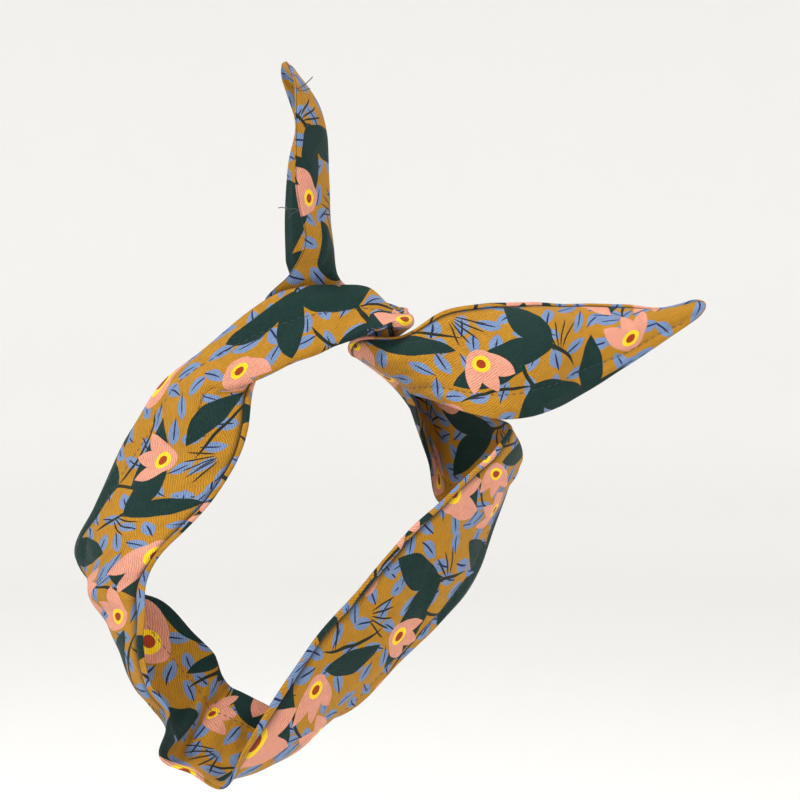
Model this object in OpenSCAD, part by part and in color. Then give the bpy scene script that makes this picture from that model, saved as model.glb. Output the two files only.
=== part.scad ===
// Wired twist headband.
// One flat cloth tube, sewn from a face and a lining, with a bendable wire in a channel along one edge.
// It is bent into a head loop, the two ends hook once round each other, and they stand out as two ears.
// The origin is the middle of the head loop. +X is right, +Y is away from the viewer and +Z is up.

/* [Band] */
// Thickness of the printed twill (mm)
cloth_t = 0.4; // [0.3:0.05:0.6]
// Half the space between face and lining at the middle of the band (mm)
puff = 0.9; // [0.5:0.1:1.2]
// Half the space between face and lining at the sewn edges (mm)
edge_gap = 0.1; // [0.06:0.02:0.2]
// Steps along the band between two stations
steps = 3; // [2:1:4]

/* [Wire channel] */
// Diameter of the bendable wire (mm)
wire_d = 1.2; // [0.9:0.1:1.4]
// Place of the wire across the band, as a share of its width from the plain edge
wire_at = 0.92; // [0.9:0.01:0.94]
// Place of the channel stitching across the band, as a share of its width
stitch_at = 0.82; // [0.78:0.01:0.84]
// Length of one stitch (mm)
stitch_len = 2.6; // [2:0.1:3]
// Length from one stitch to the next (mm)
stitch_pitch = 3.5; // [3.2:0.1:4]
// Thickness of the topstitching thread (mm)
thread_d = 0.3; // [0.2:0.05:0.4]
// Diameter of the sleeves on the ends of the wire (mm)
sleeve_d = 1.8; // [1.6:0.1:2]
// Length of the sleeves (mm)
sleeve_l = 7; // [5:1:9]

/* [Seams] */
// Width of the seam allowance folded inside the plain edge, as a share of the band's width
allowance = 0.12; // [0.08:0.01:0.14]
// Number of closing stitches over the turning gap
closing_stitches = 9; // [5:1:12]

/* [Hinges] */
// Length of cloth left free to flex where the tip of an ear meets the ear (mm)
tip_gap = 6; // [4:0.5:8]
// Length of cloth left free to flex where an ear meets the twist (mm)
root_gap = 5; // [4:0.5:8]

/* [Hidden] */

mustard = "goldenrod";
lining_tone = "darkgoldenrod";
thread_tone = "darkslategray";
wire_tone = "silver";

// The band's route, tip to tip. Each station holds three points across the band:
// the plain edge, the middle and the wire edge.
route = [
  // upper ear, from its tip down
  [[-11, -13, 185], [-14, -7, 188], [-17, -2, 186]],
  [[-8, -20, 173], [-6, -5, 178], [-14, 5, 178]],
  [[-8, -22, 161], [1, -4, 166], [-11, 13, 167]],
  [[-8, -22, 145], [3, 0, 150], [-14, 18, 152]],
  [[-7, -20, 127], [3, 4, 131], [-16, 23, 134]],
  [[-5, -13, 113], [5, 7, 114], [-16, 22, 114]],
  [[-12, 0, 102], [6, 11, 103], [-15, 25, 107]],
  // back of the twist
  [[-23, 7, 90], [10, 16, 97], [-11, 32, 100]],
  [[-1, 12, 79], [19, 20, 93], [7, 38, 97]],
  [[22, 21, 74], [33, 22, 83], [25, 32, 93]],
  [[28, 21, 77], [38, 9, 82], [34, 21, 89]],
  // front of the twist
  [[26, 12, 84], [32, -4, 81], [30, 13, 88]],
  [[17, 11, 90], [21, -7, 77], [20, 4, 96]],
  [[6, 7, 91], [7, -5, 72], [7, 0, 97]],
  [[-11, 7, 79], [-8, -7, 66], [-8, 0, 96]],
  // left arm of the loop
  [[-22, 5, 66], [-32, -7, 56], [-24, 2, 90]],
  [[-28, 0, 54], [-46, -11, 53], [-48, 4, 71]],
  [[-29, -10, 38], [-52, -13, 42], [-66, 7, 57]],
  [[-33, -13, 25], [-58, -11, 27], [-78, 9, 40]],
  [[-42, -16, 10], [-69, -9, 13], [-86, 11, 26]],
  [[-53, -18, -2], [-81, -7, -1], [-96, 11, 4]],
  [[-64, -20, -14], [-87, -7, -16], [-105, 16, -17]],
  [[-69, -18, -24], [-94, 0, -30], [-91, 22, -31]],
  // lower curve
  [[-69, -20, -36], [-87, 2, -43], [-69, 16, -36]],
  [[-69, -22, -49], [-80, 0, -55], [-55, 13, -49]],
  [[-66, -23, -63], [-71, -2, -70], [-47, 13, -57]],
  [[-59, -23, -73], [-61, -2, -80], [-45, 14, -61]],
  [[-59, -23, -81], [-57, -4, -85], [-43, 16, -68]],
  [[-62, -18, -93], [-56, -2, -91], [-40, 18, -73]],
  [[-50, -22, -98], [-47, -4, -94], [-35, 16, -75]],
  [[-37, -22, -104], [-37, -2, -99], [-27, 16, -79]],
  [[-29, -22, -89], [-24, 2, -102], [-18, 20, -84]],
  // right arm of the loop
  [[-18, -16, -72], [-9, 4, -94], [-7, 23, -85]],
  [[-2, -16, -48], [8, 4, -71], [13, 25, -83]],
  [[17, -16, -26], [27, 0, -50], [34, 20, -61]],
  [[36, -16, -4], [45, -2, -29], [53, 16, -42]],
  [[52, -14, 11], [59, 0, -10], [66, 25, -26]],
  [[64, -11, 22], [71, 7, 6], [76, 32, 2]],
  [[73, -4, 30], [81, 16, 19], [83, 43, 23]],
  // return into the twist
  [[79, 9, 38], [85, 33, 27], [81, 52, 18]],
  [[73, 25, 42], [72, 43, 25], [67, 54, 6]],
  [[60, 34, 45], [58, 47, 26], [51, 45, 4]],
  [[44, 36, 59], [47, 50, 41], [46, 40, 22]],
  [[27, 32, 66], [33, 40, 55], [41, 31, 42]],
  [[12, 19, 70], [24, 22, 63], [39, 18, 53]],
  [[15, 7, 76], [28, 4, 63], [43, 7, 51]],
  [[33, 3, 76], [40, -4, 66], [52, -4, 48]],
  // side ear, out to its tip
  [[52, 9, 87], [58, 0, 67], [63, -9, 44]],
  [[69, 9, 90], [74, -5, 68], [77, -5, 42]],
  [[90, 11, 90], [94, -7, 72], [93, -2, 45]],
  [[110, 14, 90], [111, 2, 78], [110, 4, 53]],
  [[128, 16, 90], [127, 2, 80], [126, 5, 63]],
  [[142, 14, 88], [140, 6, 84], [140, 7, 72]],
  [[153, 13, 91], [153, 8, 87], [152, 9, 80]],
  [[159, 11, 93], [162, 9, 90], [160, 7, 85]]
];
last = len(route) - 1;

// Station numbers where one stretch of the band ends and the next begins
upper_tip_joint = 3;
upper_root_joint = 6;
twist_turn = 10;
left_arm_start = 15;
lower_curve_start = 22;
right_arm_start = 31;
return_start = 38;
side_root_joint = 47;
side_tip_joint = 50;
closing_start = 33;

// Places across the band where its facets meet, as shares of its width. The channel stitching,
// the wire and the inner edge of the seam allowance each lie on one of them.
columns = [0, allowance, 0.25, 0.4, 0.55, 0.7, stitch_at, wire_at, 1];

// Length of the band's middle line up to each station
chord = [for (i = [0 : last - 1]) norm(middle(i + 1) - middle(i))];
run = [for (i = 0, total = 0; i <= last; total = total + (i < last ? chord[i] : 0), i = i + 1) total];

// Mean of a station's three points
function middle(i) = (route[i][0] + route[i][1] + route[i][2]) / 3;

// Slope of one of the three lines at a station
function slope(i, k) =
  i == 0 ? (route[1][k] - route[0][k]) / (run[1] - run[0]) :
  i == last ? (route[last][k] - route[last - 1][k]) / (run[last] - run[last - 1]) :
  (route[i + 1][k] - route[i - 1][k]) / (run[i + 1] - run[i - 1]);

// Point on one of the three lines at a fractional station number (a cubic through the stations)
function line_at(s, k) =
  let (i = min(floor(s), last - 1), t = s - i, d = run[i + 1] - run[i])
  (2 * t^3 - 3 * t^2 + 1) * route[i][k] + (t^3 - 2 * t^2 + t) * d * slope(i, k)
  + (3 * t^2 - 2 * t^3) * route[i + 1][k] + (t^3 - t^2) * d * slope(i + 1, k);

// Point of the band's middle surface: u runs from the plain edge at 0 to the wire edge at 1
function skin(s, u) =
  (1 - u) * (1 - 2 * u) * line_at(s, 0) + 4 * u * (1 - u) * line_at(s, 1) + u * (2 * u - 1) * line_at(s, 2);

// Direction out of the face side, from two small steps on the surface
small = 0.02;
function face_dir(s, u) =
  let (du = skin(s, min(u + small, 1)) - skin(s, max(u - small, 0)),
       ds = skin(min(s + small, last), u) - skin(max(s - small, 0), u),
       n = cross(du, ds))
  n / norm(n);

// Half the space between the two cloth layers, wider over the wire
wire_bulge = 0.5;
bulge_w = 0.04;
function space(u) =
  edge_gap + (puff - edge_gap) * sqrt(4 * u * (1 - u)) + wire_bulge * exp(-((u - wire_at) / bulge_w)^2);

// Point at a height h off the middle surface
function off(s, u, h) = skin(s, u) + h * face_dir(s, u);

// Station number that lies a length d (mm) beyond station s
function beyond(s, d) = s + d / (run[min(s + (d > 0 ? 1 : 0), last)] - run[max(s - (d > 0 ? 0 : 1), 0)]);

// A solid from rings of points, each ring in the same order, with flat ends
module loft(rings) {
  n = len(rings[0]);
  m = len(rings);
  sides = [for (i = [0 : m - 2], j = [0 : n - 1])
    let (a = i * n + j, b = i * n + (j + 1) % n)
    each [[a, b, b + n], [a, b + n, a + n]]];
  start = [for (j = [1 : n - 2]) [0, j + 1, j]];
  end = [for (j = [1 : n - 2]) [(m - 1) * n, (m - 1) * n + j, (m - 1) * n + j + 1]];
  polyhedron([for (ring = rings) each ring], concat(start, sides, end));
}

// A thin sheet between two layers of points over the same grid
module sheet(low, high) {
  m = len(low);
  n = len(low[0]);
  size = m * n;
  cells = [for (i = [0 : m - 2], j = [0 : n - 2]) i * n + j];
  under = [for (a = cells) each [[a, a + n + 1, a + n], [a, a + 1, a + n + 1]]];
  over = [for (a = cells) each [[a + size, a + n + size, a + n + 1 + size],
                                [a + size, a + n + 1 + size, a + 1 + size]]];
  rim = concat([for (j = [0 : n - 2]) j],
               [for (i = [0 : m - 2]) i * n + n - 1],
               [for (j = [n - 1 : -1 : 1]) (m - 1) * n + j],
               [for (i = [m - 1 : -1 : 1]) i * n]);
  walls = [for (k = [0 : len(rim) - 1])
    let (a = rim[k], b = rim[(k + 1) % len(rim)])
    each [[a, a + size, b + size], [a, b + size, b]]];
  polyhedron(concat([for (row = low) each row], [for (row = high) each row]), concat(under, over, walls));
}

// Steps along a stretch of the band: its two ends and the fixed steps between them
function along(from, to) =
  concat([from], [for (i = [floor(from * steps) + 1 : ceil(to * steps) - 1]) i / steps], [to]);

// Point at a height h off the facets of a stretch, on the line where two columns of them meet
function laid(knots, s, u, h) =
  let (i = max([for (k = [0 : len(knots) - 2]) if (knots[k] <= s) k]),
       t = (s - knots[i]) / (knots[i + 1] - knots[i]))
  (1 - t) * off(knots[i], u, h) + t * off(knots[i + 1], u, h);

// One cloth layer of a stretch: side is 1 for the face and -1 for the lining
module cloth(from, to, side) {
  inner = [for (s = along(from, to)) [for (u = columns) off(s, u, side * space(u))]];
  outer = [for (s = along(from, to)) [for (u = columns) off(s, u, side * (space(u) + cloth_t))]];
  if (side > 0) sheet(inner, outer);
  else sheet(outer, inner);
}

// A round bar of diameter d along the band at the share u of its width, h off the middle surface
bar_sides = 6;
module bar(from, to, u, d, h = 0) {
  loft([for (s = along(from, to))
    let (n = face_dir(s, u),
         ahead = skin(min(s + small, last), u) - skin(max(s - small, 0), u),
         w = cross(n, ahead / norm(ahead)),
         c = skin(s, u) + h * n)
    [for (k = [0 : bar_sides - 1])
      c + d / 2 * (cos(k * 360 / bar_sides) * n + sin(k * 360 / bar_sides) * w)]]);
}

// Topstitches along the channel, each a short bar lying on the face. Those right in a sharp fold, and
// those where the band turns over between two stations, are left out.
fold_limit = 0.85;
turn_over = [38.2, 39.4];
module topstitches(from, to) {
  length = run_at(to) - run_at(from);
  count = floor(length / stitch_pitch);
  for (i = [0 : count - 1]) {
    a = station_at(run_at(from) + i * stitch_pitch + (stitch_pitch - stitch_len) / 2);
    b = station_at(run_at(from) + i * stitch_pitch + (stitch_pitch + stitch_len) / 2);
    if (face_dir(a, stitch_at) * face_dir(b, stitch_at) > fold_limit
        && (b < turn_over[0] || a > turn_over[1]))
      stitch(along(from, to), a, b, stitch_at);
  }
}

// One stitch on the face from station a to station b
stitch_lift = 0.06;
module stitch(knots, a, b, u) {
  h = space(u) + cloth_t + thread_d / 2 + stitch_lift;
  p = laid(knots, a, u, h);
  q = laid(knots, b, u, h);
  w = cross(face_dir(a, u), (q - p) / norm(q - p)) * thread_d / 2;
  loft([for (s = concat([a], [for (k = knots) if (k > a && k < b) k], [b]))
    let (c = laid(knots, s, u, h), n = face_dir(s, u) * thread_d / 2) [c + n, c + w, c - n, c - w]]);
}

// Length along the band at station s, and the station at a length
function run_at(s) = let (i = min(floor(s), last - 1)) run[i] + (s - i) * (run[i + 1] - run[i]);
function station_at(d) =
  let (i = max([for (k = [0 : last - 1]) if (run[k] <= d) k])) i + (d - run[i]) / (run[i + 1] - run[i]);

// The turned seam allowance along the plain edge, a flat strip between the layers
module allowance_strip(from, to) {
  edge_in = 0.4;
  half_t = 0.13;
  sheet([for (s = along(from, to)) [near_edge(s, edge_in, -half_t), off(s, allowance, -half_t)]],
        [for (s = along(from, to)) [near_edge(s, edge_in, half_t), off(s, allowance, half_t)]]);
}

// Point at a share t of the way from the plain edge to the inner edge of the allowance
function near_edge(s, t, h) = (1 - t) * off(s, 0, h) + t * off(s, allowance, h);

// A sleeve round the wire from station a to station b
sleeve_play = 0.1;
sleeve_over = 0.1;
module sleeve(a, b) {
  difference() {
    bar(a, b, wire_at, sleeve_d);
    bar(a - sleeve_over, b + sleeve_over, wire_at, wire_d + sleeve_play);
  }
}

// A loose end of thread just in front of the plain edge at station s, leaning right (1) or left (-1)
tail_gap = 1.2;
module thread_tail(s, lean) {
  start = skin(s, 0) + [0, -tail_gap, 0];
  path = [for (k = [0 : 4]) start + k * 1.1 * [lean, -0.35, 0] + [0, 0, 0.18 * k * k]];
  loft([for (p = path) [for (k = [0 : 4]) p + thread_d / 2 * [0, cos(k * 72), -sin(k * 72) * sign(lean)]]]);
}

// Ends of the stretches on either side of each hinge
upper_tip_end = beyond(upper_tip_joint, -tip_gap / 2);
upper_ear_start = beyond(upper_tip_joint, tip_gap / 2);
upper_ear_end = beyond(upper_root_joint, -root_gap / 2);
loop_start = beyond(upper_root_joint, root_gap / 2);
loop_end = beyond(side_root_joint, -root_gap / 2);
side_ear_start = beyond(side_root_joint, root_gap / 2);
side_ear_end = beyond(side_tip_joint, -tip_gap / 2);
side_tip_start = beyond(side_tip_joint, tip_gap / 2);
wire_start = 0.7;
wire_end = last - 1.6;
sleeve_top_end = station_at(run_at(wire_start) + sleeve_l);
sleeve_side_start = station_at(run_at(wire_end) - sleeve_l);

module upper_tip_face() { color(mustard) cloth(0, upper_tip_end, 1); }
module upper_tip_lining() { color(lining_tone) cloth(0, upper_tip_end, -1); }
module upper_tip_wire() { color(wire_tone) bar(wire_start, upper_tip_end, wire_at, wire_d); }
module upper_tip_stitching() { color(thread_tone) topstitches(wire_start, upper_tip_end); }
module upper_tip_allowance() { color(lining_tone) allowance_strip(wire_start, upper_tip_end); }
module upper_wire_sleeve() { color("ivory") sleeve(wire_start, sleeve_top_end); }
module upper_tip_thread_tail() { color(thread_tone) thread_tail(0.9, 1); }

module upper_ear_face() { color(mustard) cloth(upper_ear_start, upper_ear_end, 1); }
module upper_ear_lining() { color(lining_tone) cloth(upper_ear_start, upper_ear_end, -1); }
module upper_ear_wire() { color(wire_tone) bar(upper_ear_start, upper_ear_end, wire_at, wire_d); }
module upper_ear_stitching() { color(thread_tone) topstitches(upper_ear_start, upper_ear_end); }
module upper_ear_allowance() { color(lining_tone) allowance_strip(upper_ear_start, upper_ear_end); }
module upper_ear_thread_tail() { color(thread_tone) thread_tail(4.1, -1); }

module twist_back_face() { color(mustard) cloth(loop_start, twist_turn, 1); }
module twist_back_lining() { color(lining_tone) cloth(loop_start, twist_turn, -1); }
module twist_front_face() { color(mustard) cloth(twist_turn, left_arm_start, 1); }
module twist_front_lining() { color(lining_tone) cloth(twist_turn, left_arm_start, -1); }
module left_arm_face() { color(mustard) cloth(left_arm_start, lower_curve_start, 1); }
module left_arm_lining() { color(lining_tone) cloth(left_arm_start, lower_curve_start, -1); }
module lower_curve_face() { color(mustard) cloth(lower_curve_start, right_arm_start, 1); }
module lower_curve_lining() { color(lining_tone) cloth(lower_curve_start, right_arm_start, -1); }
module right_arm_face() { color(mustard) cloth(right_arm_start, return_start, 1); }
module right_arm_lining() { color(lining_tone) cloth(right_arm_start, return_start, -1); }
module twist_return_face() { color(mustard) cloth(return_start, loop_end, 1); }
module twist_return_lining() { color(lining_tone) cloth(return_start, loop_end, -1); }
module loop_wire() { color(wire_tone) bar(loop_start, loop_end, wire_at, wire_d); }
module loop_stitching() { color(thread_tone) topstitches(loop_start, loop_end); }
module loop_allowance() { color(lining_tone) allowance_strip(loop_start, loop_end); }
module closing_stitching() {
  color(thread_tone) for (i = [0 : closing_stitches - 1]) {
    a = station_at(run_at(closing_start) + i * 2 * stitch_pitch);
    b = station_at(run_at(closing_start) + i * 2 * stitch_pitch + stitch_len);
    stitch(along(right_arm_start, return_start), a, b, 0);
  }
}

module side_ear_face() { color(mustard) cloth(side_ear_start, side_ear_end, 1); }
module side_ear_lining() { color(lining_tone) cloth(side_ear_start, side_ear_end, -1); }
module side_ear_wire() { color(wire_tone) bar(side_ear_start, side_ear_end, wire_at, wire_d); }
module side_ear_stitching() { color(thread_tone) topstitches(side_ear_start, side_ear_end); }
module side_ear_allowance() { color(lining_tone) allowance_strip(side_ear_start, side_ear_end); }

module side_tip_face() { color(mustard) cloth(side_tip_start, last, 1); }
module side_tip_lining() { color(lining_tone) cloth(side_tip_start, last, -1); }
module side_tip_wire() { color(wire_tone) bar(side_tip_start, wire_end, wire_at, wire_d); }
module side_tip_stitching() { color(thread_tone) topstitches(side_tip_start, wire_end); }
module side_tip_allowance() { color(lining_tone) allowance_strip(side_tip_start, wire_end); }
module side_wire_sleeve() { color("ivory") sleeve(sleeve_side_start, wire_end); }

upper_tip_face();
upper_tip_lining();
upper_tip_wire();
upper_tip_stitching();
upper_tip_allowance();
upper_wire_sleeve();
upper_tip_thread_tail();
upper_ear_face();
upper_ear_lining();
upper_ear_wire();
upper_ear_stitching();
upper_ear_allowance();
upper_ear_thread_tail();
twist_back_face();
twist_back_lining();
twist_front_face();
twist_front_lining();
left_arm_face();
left_arm_lining();
lower_curve_face();
lower_curve_lining();
right_arm_face();
right_arm_lining();
twist_return_face();
twist_return_lining();
loop_wire();
loop_stitching();
loop_allowance();
closing_stitching();
side_ear_face();
side_ear_lining();
side_ear_wire();
side_ear_stitching();
side_ear_allowance();
side_tip_face();
side_tip_lining();
side_tip_wire();
side_tip_stitching();
side_tip_allowance();
side_wire_sleeve();
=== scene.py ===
"""A wired twist headband in printed cotton twill: its cloth, stitching, thread ends and studio."""
import math

import bpy
import numpy as np
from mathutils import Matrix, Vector


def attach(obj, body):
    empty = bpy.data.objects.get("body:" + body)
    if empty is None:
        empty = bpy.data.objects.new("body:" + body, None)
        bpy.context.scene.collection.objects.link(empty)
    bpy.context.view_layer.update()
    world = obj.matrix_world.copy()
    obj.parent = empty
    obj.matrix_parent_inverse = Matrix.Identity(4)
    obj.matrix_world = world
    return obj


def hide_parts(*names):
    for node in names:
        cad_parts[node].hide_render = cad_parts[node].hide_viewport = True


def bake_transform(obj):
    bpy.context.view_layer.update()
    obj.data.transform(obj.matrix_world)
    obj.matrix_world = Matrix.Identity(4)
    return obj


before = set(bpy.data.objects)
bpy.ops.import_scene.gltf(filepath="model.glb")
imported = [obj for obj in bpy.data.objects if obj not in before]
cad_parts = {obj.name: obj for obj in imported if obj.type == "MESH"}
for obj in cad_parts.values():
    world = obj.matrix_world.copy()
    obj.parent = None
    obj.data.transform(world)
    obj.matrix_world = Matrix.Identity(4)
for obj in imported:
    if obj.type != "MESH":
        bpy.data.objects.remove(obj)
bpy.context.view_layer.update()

bl_info = {
    "name": "Wired twist headband",
    "version": (1, 0, 0),
    "blender": (4, 5, 0),
    "location": "3D View > Sidebar > Headband",
    "description": "Builds a printed cotton headband with a wire in one edge",
    "category": "Add Mesh",
}

MM = 0.001

# The band's route, tip to tip, in millimetres. Each station holds three points across the band:
# the plain edge, the middle and the wire edge.
ROUTE = [
    # upper ear, from its tip down
    [[-11, -13, 185], [-14, -7, 188], [-17, -2, 186]],
    [[-8, -20, 173], [-6, -5, 178], [-14, 5, 178]],
    [[-8, -22, 161], [1, -4, 166], [-11, 13, 167]],
    [[-8, -22, 145], [3, 0, 150], [-14, 18, 152]],
    [[-7, -20, 127], [3, 4, 131], [-16, 23, 134]],
    [[-5, -13, 113], [5, 7, 114], [-16, 22, 114]],
    [[-12, 0, 102], [6, 11, 103], [-15, 25, 107]],
    # back of the twist
    [[-23, 7, 90], [10, 16, 97], [-11, 32, 100]],
    [[-1, 12, 79], [19, 20, 93], [7, 38, 97]],
    [[22, 21, 74], [33, 22, 83], [25, 32, 93]],
    [[28, 21, 77], [38, 9, 82], [34, 21, 89]],
    # front of the twist
    [[26, 12, 84], [32, -4, 81], [30, 13, 88]],
    [[17, 11, 90], [21, -7, 77], [20, 4, 96]],
    [[6, 7, 91], [7, -5, 72], [7, 0, 97]],
    [[-11, 7, 79], [-8, -7, 66], [-8, 0, 96]],
    # left arm of the loop
    [[-22, 5, 66], [-32, -7, 56], [-24, 2, 90]],
    [[-28, 0, 54], [-46, -11, 53], [-48, 4, 71]],
    [[-29, -10, 38], [-52, -13, 42], [-66, 7, 57]],
    [[-33, -13, 25], [-58, -11, 27], [-78, 9, 40]],
    [[-42, -16, 10], [-69, -9, 13], [-86, 11, 26]],
    [[-53, -18, -2], [-81, -7, -1], [-96, 11, 4]],
    [[-64, -20, -14], [-87, -7, -16], [-105, 16, -17]],
    [[-69, -18, -24], [-94, 0, -30], [-91, 22, -31]],
    # lower curve
    [[-69, -20, -36], [-87, 2, -43], [-69, 16, -36]],
    [[-69, -22, -49], [-80, 0, -55], [-55, 13, -49]],
    [[-66, -23, -63], [-71, -2, -70], [-47, 13, -57]],
    [[-59, -23, -73], [-61, -2, -80], [-45, 14, -61]],
    [[-59, -23, -81], [-57, -4, -85], [-43, 16, -68]],
    [[-62, -18, -93], [-56, -2, -91], [-40, 18, -73]],
    [[-50, -22, -98], [-47, -4, -94], [-35, 16, -75]],
    [[-37, -22, -104], [-37, -2, -99], [-27, 16, -79]],
    [[-29, -22, -89], [-24, 2, -102], [-18, 20, -84]],
    # right arm of the loop
    [[-18, -16, -72], [-9, 4, -94], [-7, 23, -85]],
    [[-2, -16, -48], [8, 4, -71], [13, 25, -83]],
    [[17, -16, -26], [27, 0, -50], [34, 20, -61]],
    [[36, -16, -4], [45, -2, -29], [53, 16, -42]],
    [[52, -14, 11], [59, 0, -10], [66, 25, -26]],
    [[64, -11, 22], [71, 7, 6], [76, 32, 2]],
    [[73, -4, 30], [81, 16, 19], [83, 43, 23]],
    # return into the twist
    [[79, 9, 38], [85, 33, 27], [81, 52, 18]],
    [[73, 25, 42], [72, 43, 25], [67, 54, 6]],
    [[60, 34, 45], [58, 47, 26], [51, 45, 4]],
    [[44, 36, 59], [47, 50, 41], [46, 40, 22]],
    [[27, 32, 66], [33, 40, 55], [41, 31, 42]],
    [[12, 19, 70], [24, 22, 63], [39, 18, 53]],
    [[15, 7, 76], [28, 4, 63], [43, 7, 51]],
    [[33, 3, 76], [40, -4, 66], [52, -4, 48]],
    # side ear, out to its tip
    [[52, 9, 87], [58, 0, 67], [63, -9, 44]],
    [[69, 9, 90], [74, -5, 68], [77, -5, 42]],
    [[90, 11, 90], [94, -7, 72], [93, -2, 45]],
    [[110, 14, 90], [111, 2, 78], [110, 4, 53]],
    [[128, 16, 90], [127, 2, 80], [126, 5, 63]],
    [[142, 14, 88], [140, 6, 84], [140, 7, 72]],
    [[153, 13, 91], [153, 8, 87], [152, 9, 80]],
    [[159, 11, 93], [162, 9, 90], [160, 7, 85]],
]
STATIONS = np.array(ROUTE, float) * MM
LAST = len(ROUTE) - 1

# How sharply the band is folded along its middle at some stations, from 0 (round) to 1 (a crease)
FOLD = [(0, 0.2), (2, 0.5), (5, 0.55), (7, 0.2), (9, 0.2), (11, 0.5), (14, 0.6), (15, 0.55), (17, 0.15),
        (20, 0.1), (29, 0.0), (30, 0.0), (37, 0.1), (42, 0.1), (46, 0.0), (49, 0.25), (51, 0.7), (54, 0.5)]

# Soft folds pressed into the cloth: from (station, place across) to (station, place across),
# then the height (mm, minus for a valley) and the half width (mm)
CREASES = [
    (4.0, 0.30, 5.6, 0.18, -0.7, 2.5),
    (1.4, 0.62, 3.4, 0.72, 0.6, 2.5),
    (11.9, 0.98, 12.1, 0.50, -0.9, 1.6),
    (12.6, 0.95, 13.2, 0.60, 0.7, 3.0),
    (13.4, 0.98, 14.8, 0.60, -0.6, 3.0),
    (15.0, 0.95, 17.6, 0.70, 0.8, 4.0),
    (15.6, 0.50, 17.2, 0.42, -1.2, 2.0),
    (17.0, 0.50, 19.5, 0.75, -0.7, 3.5),
    (17.5, 0.10, 19.0, 0.30, 0.6, 3.0),
    (19.6, 0.20, 21.4, 0.55, 0.8, 4.0),
    (20.6, 0.95, 21.9, 0.40, -1.0, 3.0),
    (21.6, 0.60, 22.6, 0.05, 0.8, 3.0),
    (24.2, 0.95, 25.4, 0.20, -0.8, 2.5),
    (26.6, 0.98, 27.3, 0.05, -1.6, 2.0),
    (27.8, 0.80, 28.6, 0.10, 0.9, 2.5),
    (29.6, 0.95, 30.4, 0.10, -0.7, 2.5),
    (32.2, 0.20, 33.8, 0.70, 0.6, 4.0),
    (34.4, 0.75, 35.6, 0.20, -0.5, 4.0),
    (36.0, 0.30, 37.2, 0.85, -0.9, 3.0),
    (37.2, 0.20, 38.4, 0.80, 0.7, 3.0),
    (39.2, 0.10, 40.4, 0.55, -0.7, 3.0),
    (43.6, 0.80, 45.8, 0.62, -0.9, 2.0),
    (44.6, 0.35, 46.6, 0.50, 0.9, 3.0),
    (45.4, 0.20, 47.6, 0.30, -0.6, 2.5),
    (45.6, 0.92, 48.2, 0.78, -0.6, 3.0),
    (48.6, 0.15, 50.0, 0.45, 0.7, 3.0),
    (51.2, 0.70, 52.6, 0.55, -0.4, 2.5),
]

# Where one cloth piece ends and the next begins (station numbers), the bodies that it spans,
# and how it is held: the wire folds it, and the twist gathers it
SPANS = [
    ("upper_tip_cloth", 0.0, 4.5, ("upper_ear", "upper_tip"), "folded"),
    ("upper_ear_cloth", 4.5, 8.0, ("loop", "upper_ear"), "folded"),
    ("loop_cloth", 8.0, 45.4, ("loop",), "gathered"),
    ("side_ear_cloth", 45.4, 48.6, ("loop", "side_ear"), "folded"),
    ("side_tip_cloth", 48.6, float(LAST), ("side_ear", "side_tip"), "folded"),
]


# ---------------------------------------------------------------- the band's surface


def length_to_stations():
    """Length of the band's middle line up to each station."""
    middle = STATIONS.mean(axis=1)
    steps = np.linalg.norm(np.diff(middle, axis=0), axis=1)
    return np.concatenate([[0.0], np.cumsum(steps)])


RUN = length_to_stations()


def slopes():
    """Slope of the three lines at each station."""
    out = np.empty_like(STATIONS)
    out[1:-1] = (STATIONS[2:] - STATIONS[:-2]) / (RUN[2:] - RUN[:-2])[:, None, None]
    out[0] = (STATIONS[1] - STATIONS[0]) / (RUN[1] - RUN[0])
    out[-1] = (STATIONS[-1] - STATIONS[-2]) / (RUN[-1] - RUN[-2])
    return out


SLOPE = slopes()


def lines_at(s):
    """The plain edge, the middle and the wire edge at fractional station numbers."""
    i = np.clip(np.floor(s).astype(int), 0, LAST - 1)
    t = (s - i)[:, None, None]
    d = (RUN[i + 1] - RUN[i])[:, None, None]
    here = (2 * t**3 - 3 * t**2 + 1) * STATIONS[i] + (t**3 - 2 * t**2 + t) * d * SLOPE[i]
    there = (3 * t**2 - 2 * t**3) * STATIONS[i + 1] + (t**3 - t**2) * d * SLOPE[i + 1]
    return here + there


def width_at(s):
    """Width of the band across its surface at fractional station numbers."""
    p = lines_at(np.asarray(s, float))
    return np.linalg.norm(p[:, 0] - p[:, 1], axis=1) + np.linalg.norm(p[:, 1] - p[:, 2], axis=1)


def run_at(s):
    """Length along the band at fractional station numbers."""
    return np.interp(s, np.arange(LAST + 1), RUN)


def station_at(length):
    """Station number at a length along the band."""
    return np.interp(length, RUN, np.arange(LAST + 1))


def tip_rounding(s):
    """Share of the width that is left near the two tips, whose corners are rounded."""
    reach = 0.006
    to_tip = np.minimum(run_at(s), RUN[-1] - run_at(s)) / reach
    return 0.45 + 0.55 * np.sqrt(np.clip(to_tip * (2 - np.minimum(to_tip, 1)), 0, 1))


def plain_skin(s, u):
    """The band's middle surface before its small folds; u is 0 at the plain edge and 1 at the wire edge."""
    p = lines_at(s)
    edge, mid, wire = p[:, 0], p[:, 1], p[:, 2]
    u = 0.5 + (u - 0.5) * tip_rounding(s)
    v = u[:, None]
    rounded = (1 - v) * (1 - 2 * v) * edge + 4 * v * (1 - v) * mid + v * (2 * v - 1) * wire
    t = 2 * v - 1
    soft = np.sqrt(t * t + 0.01)
    folded = mid + (wire - mid) * (soft + t) / 2 + (edge - mid) * (soft - t) / 2
    share = np.interp(s, [f[0] for f in FOLD], [f[1] for f in FOLD])[:, None]
    return rounded * (1 - share) + folded * share


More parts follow.
